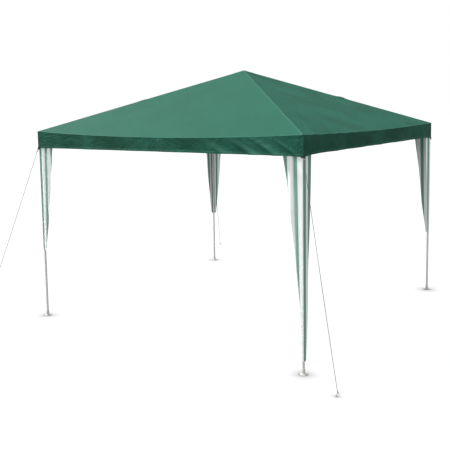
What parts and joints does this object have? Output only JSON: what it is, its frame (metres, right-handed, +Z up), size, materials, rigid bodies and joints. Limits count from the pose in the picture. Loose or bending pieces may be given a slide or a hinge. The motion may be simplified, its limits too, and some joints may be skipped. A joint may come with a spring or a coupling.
{
  "type": "pop up gazebo",
  "caption": "Square garden gazebo with a green pyramid canopy and valance on a folding hub-and-arm frame with telescopic legs, striped leg curtains and guy ropes.",
  "frame": {"origin": "on the ground at the centre of the four feet", "axes": "+Z up; X and Y run along the sides of the canopy; the front corner, the nearest one as seen, is at +X -Y"},
  "size_m": [3.9494, 4.3081, 2.48],
  "materials": {
    "green_cloth": "matte",
    "striped_cloth": "matte",
    "white_tube": "satin",
    "zinc_steel": "satin",
    "black_nylon": "matte",
    "grey_plastic": "matte",
    "white_rope": "matte"
  },
  "bodies": {
    "hub": {"hub": "black_nylon", "hub_pins": "zinc_steel", "mast": "white_tube", "mast_end_cap": "black_nylon", "canopy": "green_cloth"},
    "front_inner_arm": {"front_inner_arm": "white_tube", "front_inner_arm_fittings": "black_nylon"},
    "front_stretcher": {"front_stretcher": "zinc_steel"},
    "front_outer_arm": {"front_outer_arm": "white_tube", "front_outer_arm_fittings": "black_nylon"},
    "front_upper_leg": {"front_upper_leg": "white_tube", "front_leg_bracket": "black_nylon", "front_curtain": "striped_cloth", "front_guy_ring": "zinc_steel"},
    "front_lower_leg": {"front_lower_leg": "white_tube", "front_foot": "grey_plastic"},
    "front_lock_button": {"front_lock_button": "zinc_steel"},
    "front_rope": {"front_rope": "white_rope", "front_peg": "zinc_steel"},
    "right_inner_arm": {"right_inner_arm": "white_tube", "right_inner_arm_fittings": "black_nylon"},
    "right_stretcher": {"right_stretcher": "zinc_steel"},
    "right_outer_arm": {"right_outer_arm": "white_tube", "right_outer_arm_fittings": "black_nylon"},
    "right_upper_leg": {"right_upper_leg": "white_tube", "right_leg_bracket": "black_nylon", "right_curtain": "striped_cloth"},
    "right_lower_leg": {"right_lower_leg": "white_tube", "right_foot": "grey_plastic"},
    "right_lock_button": {"right_lock_button": "zinc_steel"},
    "back_inner_arm": {"back_inner_arm": "white_tube", "back_inner_arm_fittings": "black_nylon"},
    "back_stretcher": {"back_stretcher": "zinc_steel"},
    "back_outer_arm": {"back_outer_arm": "white_tube", "back_outer_arm_fittings": "black_nylon"},
    "back_upper_leg": {"back_upper_leg": "white_tube", "back_leg_bracket": "black_nylon", "back_curtain": "striped_cloth", "back_guy_ring": "zinc_steel"},
    "back_lower_leg": {"back_lower_leg": "white_tube", "back_foot": "grey_plastic"},
    "back_lock_button": {"back_lock_button": "zinc_steel"},
    "back_rope": {"back_rope": "white_rope", "back_peg": "zinc_steel"},
    "left_inner_arm": {"left_inner_arm": "white_tube", "left_inner_arm_fittings": "black_nylon"},
    "left_stretcher": {"left_stretcher": "zinc_steel"},
    "left_outer_arm": {"left_outer_arm": "white_tube", "left_outer_arm_fittings": "black_nylon"},
    "left_upper_leg": {"left_upper_leg": "white_tube", "left_leg_bracket": "black_nylon", "left_curtain": "striped_cloth", "left_guy_ring": "zinc_steel"},
    "left_lower_leg": {"left_lower_leg": "white_tube", "left_foot": "grey_plastic"},
    "left_lock_button": {"left_lock_button": "zinc_steel"},
    "left_rope": {"left_rope": "white_rope", "left_peg": "zinc_steel"},
    "runner": {"runner": "black_nylon", "runner_pins": "zinc_steel"}
  },
  "joints": [
    {"name": "fold", "type": "hinge", "parent": "hub", "child": "front_inner_arm", "pos_m": [0.03182, -0.03182, 2.4104], "axis": [0.7071, 0.7071, 0], "range_deg": [0, 74.46], "deforming": ["canopy", "front_curtain", "right_curtain", "back_curtain", "left_curtain"]},
    {"name": "front_stretcher_turn", "type": "hinge", "parent": "front_inner_arm", "child": "front_stretcher", "pos_m": [0.20894, -0.20894, 2.34073], "axis": [0.7071, 0.7071, 0], "range_deg": [-148.92, 0]},
    {"name": "front_knee", "type": "hinge", "parent": "front_inner_arm", "child": "front_outer_arm", "pos_m": [0.7568, -0.7568, 2.16779], "axis": [0.7071, 0.7071, 0], "range_deg": [-180.01, 0]},
    {"name": "front_elbow", "type": "hinge", "parent": "front_outer_arm", "child": "front_upper_leg", "pos_m": [1.46814, -1.46814, 1.85582], "axis": [0.7071, 0.7071, 0], "range_deg": [0, 105.55]},
    {"name": "front_leg_slide", "type": "slide", "parent": "front_upper_leg", "child": "front_lower_leg", "axis": [0, 0, 1], "range_m": [0, 0.768]},
    {"name": "front_button_press", "type": "slide", "parent": "front_lower_leg", "child": "front_lock_button", "axis": [0.7071, -0.7071, 0], "range_m": [0, 0.0045], "stiffness_N_per_m": 600, "springref_m": -0.003},
    {"name": "front_rope_swing", "type": "hinge", "parent": "front_upper_leg", "child": "front_rope", "pos_m": [1.50566, -1.50566, 1.699], "axis": [0.483, 0.8756, 0], "range_deg": [0, 12.13]},
    {"name": "right_arm_fold", "type": "hinge", "parent": "hub", "child": "right_inner_arm", "pos_m": [0.03182, 0.03182, 2.4104], "axis": [-0.7071, 0.7071, 0], "range_deg": [0, 74.46]},
    {"name": "right_stretcher_turn", "type": "hinge", "parent": "right_inner_arm", "child": "right_stretcher", "pos_m": [0.20894, 0.20894, 2.34073], "axis": [-0.7071, 0.7071, 0], "range_deg": [-148.92, 0]},
    {"name": "right_knee", "type": "hinge", "parent": "right_inner_arm", "child": "right_outer_arm", "pos_m": [0.7568, 0.7568, 2.16779], "axis": [-0.7071, 0.7071, 0], "range_deg": [-180.01, 0]},
    {"name": "right_elbow", "type": "hinge", "parent": "right_outer_arm", "child": "right_upper_leg", "pos_m": [1.46814, 1.46814, 1.85582], "axis": [-0.7071, 0.7071, 0], "range_deg": [0, 105.55]},
    {"name": "right_leg_slide", "type": "slide", "parent": "right_upper_leg", "child": "right_lower_leg", "axis": [0, 0, 1], "range_m": [0, 0.768]},
    {"name": "right_button_press", "type": "slide", "parent": "right_lower_leg", "child": "right_lock_button", "axis": [0.7071, 0.7071, 0], "range_m": [0, 0.0045], "stiffness_N_per_m": 600, "springref_m": -0.003},
    {"name": "back_arm_fold", "type": "hinge", "parent": "hub", "child": "back_inner_arm", "pos_m": [-0.03182, 0.03182, 2.4104], "axis": [-0.7071, -0.7071, 0], "range_deg": [0, 74.46]},
    {"name": "back_stretcher_turn", "type": "hinge", "parent": "back_inner_arm", "child": "back_stretcher", "pos_m": [-0.20894, 0.20894, 2.34073], "axis": [-0.7071, -0.7071, 0], "range_deg": [-148.92, 0]},
    {"name": "back_knee", "type": "hinge", "parent": "back_inner_arm", "child": "back_outer_arm", "pos_m": [-0.7568, 0.7568, 2.16779], "axis": [-0.7071, -0.7071, 0], "range_deg": [-180.01, 0]},
    {"name": "back_elbow", "type": "hinge", "parent": "back_outer_arm", "child": "back_upper_leg", "pos_m": [-1.46814, 1.46814, 1.85582], "axis": [-0.7071, -0.7071, 0], "range_deg": [0, 105.55]},
    {"name": "back_leg_slide", "type": "slide", "parent": "back_upper_leg", "child": "back_lower_leg", "axis": [0, 0, 1], "range_m": [0, 0.768]},
    {"name": "back_button_press", "type": "slide", "parent": "back_lower_leg", "child": "back_lock_button", "axis": [-0.7071, 0.7071, 0], "range_m": [0, 0.0045], "stiffness_N_per_m": 600, "springref_m": -0.003},
    {"name": "back_rope_swing", "type": "hinge", "parent": "back_upper_leg", "child": "back_rope", "pos_m": [-1.50566, 1.50566, 1.699], "axis": [-0.8617, -0.5075, 0], "range_deg": [0, 29.9]},
    {"name": "left_arm_fold", "type": "hinge", "parent": "hub", "child": "left_inner_arm", "pos_m": [-0.03182, -0.03182, 2.4104], "axis": [0.7071, -0.7071, 0], "range_deg": [0, 74.46]},
    {"name": "left_stretcher_turn", "type": "hinge", "parent": "left_inner_arm", "child": "left_stretcher", "pos_m": [-0.20894, -0.20894, 2.34073], "axis": [0.7071, -0.7071, 0], "range_deg": [-148.92, 0]},
    {"name": "left_knee", "type": "hinge", "parent": "left_inner_arm", "child": "left_outer_arm", "pos_m": [-0.7568, -0.7568, 2.16779], "axis": [0.7071, -0.7071, 0], "range_deg": [-180.01, 0]},
    {"name": "left_elbow", "type": "hinge", "parent": "left_outer_arm", "child": "left_upper_leg", "pos_m": [-1.46814, -1.46814, 1.85582], "axis": [0.7071, -0.7071, 0], "range_deg": [0, 105.55]},
    {"name": "left_leg_slide", "type": "slide", "parent": "left_upper_leg", "child": "left_lower_leg", "axis": [0, 0, 1], "range_m": [0, 0.768]},
    {"name": "left_button_press", "type": "slide", "parent": "left_lower_leg", "child": "left_lock_button", "axis": [-0.7071, -0.7071, 0], "range_m": [0, 0.0045], "stiffness_N_per_m": 600, "springref_m": -0.003},
    {"name": "left_rope_swing", "type": "hinge", "parent": "left_upper_leg", "child": "left_rope", "pos_m": [-1.50566, -1.50566, 1.699], "axis": [0.5943, -0.8042, 0], "range_deg": [0, 17.73]},
    {"name": "runner_slide", "type": "hinge", "parent": "front_stretcher", "child": "runner", "pos_m": [0.03182, -0.03182, 2.27106], "axis": [0.7071, 0.7071, 0], "range_deg": [0, 74.47]}
  ],
  "couplings": [
    {"joint": "front_stretcher_turn", "follows": "fold", "ratio": -2},
    {"joint": "front_knee", "follows": "fold", "ratio": -2.4175},
    {"joint": "front_elbow", "follows": "fold", "ratio": 1.4175},
    {"joint": "front_rope_swing", "follows": "fold", "ratio": 0.16284},
    {"joint": "right_arm_fold", "follows": "fold", "ratio": 1},
    {"joint": "right_stretcher_turn", "follows": "fold", "ratio": -2},
    {"joint": "right_knee", "follows": "fold", "ratio": -2.4175},
    {"joint": "right_elbow", "follows": "fold", "ratio": 1.4175},
    {"joint": "back_arm_fold", "follows": "fold", "ratio": 1},
    {"joint": "back_stretcher_turn", "follows": "fold", "ratio": -2},
    {"joint": "back_knee", "follows": "fold", "ratio": -2.4175},
    {"joint": "back_elbow", "follows": "fold", "ratio": 1.4175},
    {"joint": "back_rope_swing", "follows": "fold", "ratio": 0.40146},
    {"joint": "left_arm_fold", "follows": "fold", "ratio": 1},
    {"joint": "left_stretcher_turn", "follows": "fold", "ratio": -2},
    {"joint": "left_knee", "follows": "fold", "ratio": -2.4175},
    {"joint": "left_elbow", "follows": "fold", "ratio": 1.4175},
    {"joint": "left_rope_swing", "follows": "fold", "ratio": 0.23797},
    {"joint": "runner_slide", "follows": "fold", "ratio": 1}
  ]
}
